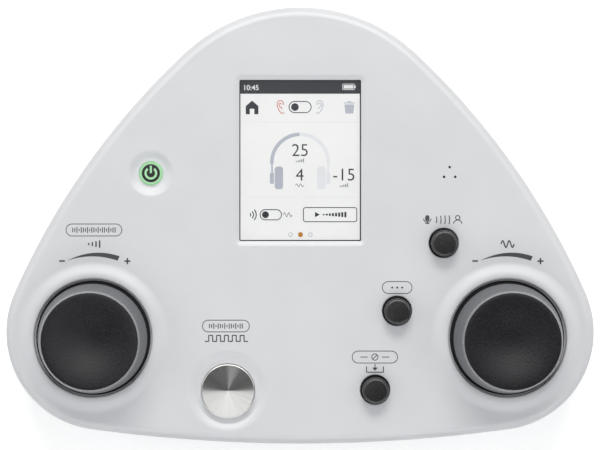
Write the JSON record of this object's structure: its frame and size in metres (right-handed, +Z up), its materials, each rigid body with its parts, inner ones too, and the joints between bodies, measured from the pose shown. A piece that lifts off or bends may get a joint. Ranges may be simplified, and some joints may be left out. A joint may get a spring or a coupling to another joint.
{
  "type": "audiometer",
  "caption": "Desktop audiometer with a rounded-triangle panel, two rotary dials, a steel stimulus button, small push buttons and a colour display.",
  "frame": {"origin": "middle of the footprint, on the table under the rubber feet", "axes": "+X to the user's right, +Y to the rear, +Z up; the panel leans 7 degrees towards the user"},
  "size_m": [0.237, 0.1759, 0.0488],
  "materials": {
    "shell": "fine matt moulding",
    "dial_body": "satin",
    "dial_cap": "soft touch",
    "steel": "radially brushed",
    "button_black": "satin",
    "lens_green": "translucent, lit from behind",
    "disc_black": "gloss",
    "touch_glass": "clear",
    "lcd": "display face",
    "dark_plastic": "moulded",
    "switch_body": "moulded",
    "black_rubber": "matt",
    "board": "solder mask",
    "screw_steel": "zinc plated",
    "socket_ring": "anodised",
    "plated": "plated",
    "ribbon": "satin",
    "battery": "shrink sleeve"
  },
  "bodies": {
    "housing": {"top_shell": "shell", "bottom_shell": "shell", "battery_cover": "shell", "touch_panel": "touch_glass", "lcd_module": "lcd", "display_holder": "dark_plastic", "stimulus_guide": "dark_plastic", "right_phone_socket": "dark_plastic", "left_phone_socket": "dark_plastic", "bone_vibrator_socket": "dark_plastic", "response_socket": "dark_plastic", "panel_header": "dark_plastic", "main_header": "dark_plastic", "stimulus_switch": "switch_body", "talk_switch": "switch_body", "function_switch": "switch_body", "store_switch": "switch_body", "power_switch": "switch_body", "rubber_feet": "black_rubber", "display_gasket": "black_rubber", "microphone_boot": "black_rubber", "panel_board": "board", "main_board": "board", "housing_screws": "screw_steel", "panel_board_screws": "screw_steel", "main_board_screws": "screw_steel", "battery_cover_screws": "screw_steel", "stimulus_spring": "screw_steel", "socket_nuts": "socket_ring", "left_encoder": "plated", "right_encoder": "plated", "encoder_nuts": "plated", "usb_socket": "plated", "microphone": "plated", "ribbon_cable": "ribbon", "battery_pack": "battery"},
    "left_dial": {"left_knob_body": "dial_body", "left_knob_cap": "dial_cap", "left_encoder_shaft": "plated"},
    "right_dial": {"right_knob_body": "dial_body", "right_knob_cap": "dial_cap", "right_encoder_shaft": "plated"},
    "stimulus_key": {"stimulus_button": "steel", "stimulus_plunger": "dark_plastic"},
    "talk_key": {"talk_button": "button_black", "talk_plunger": "dark_plastic"},
    "function_key": {"function_button": "button_black", "function_plunger": "dark_plastic"},
    "store_key": {"store_button": "button_black", "store_plunger": "dark_plastic"},
    "power_key": {"power_lens": "lens_green", "power_disc": "disc_black", "power_plunger": "dark_plastic"}
  },
  "joints": [
    {"name": "left_dial_turn", "type": "hinge", "parent": "housing", "child": "left_dial", "pos_m": [-0.0831, -0.04547, 0.02958], "axis": [0, -0.1219, 0.9925], "continuous": true},
    {"name": "right_dial_turn", "type": "hinge", "parent": "housing", "child": "right_dial", "pos_m": [0.0831, -0.04547, 0.02958], "axis": [0, -0.1219, 0.9925], "continuous": true},
    {"name": "stimulus_press", "type": "slide", "parent": "housing", "child": "stimulus_key", "axis": [0, 0.1219, -0.9925], "range_m": [0, 0.0015], "stiffness_N_per_m": 600, "springref_m": -0.003, "deforming": ["stimulus_spring"]},
    {"name": "talk_press", "type": "slide", "parent": "housing", "child": "talk_key", "axis": [0, 0.1219, -0.9925], "range_m": [0, 0.0012], "stiffness_N_per_m": 500, "springref_m": -0.003},
    {"name": "function_press", "type": "slide", "parent": "housing", "child": "function_key", "axis": [0, 0.1219, -0.9925], "range_m": [0, 0.0012], "stiffness_N_per_m": 500, "springref_m": -0.003},
    {"name": "store_press", "type": "slide", "parent": "housing", "child": "store_key", "axis": [0, 0.1219, -0.9925], "range_m": [0, 0.0012], "stiffness_N_per_m": 500, "springref_m": -0.003},
    {"name": "power_press", "type": "slide", "parent": "housing", "child": "power_key", "axis": [0, 0.1219, -0.9925], "range_m": [0, 0.0012], "stiffness_N_per_m": 500, "springref_m": -0.003}
  ]
}
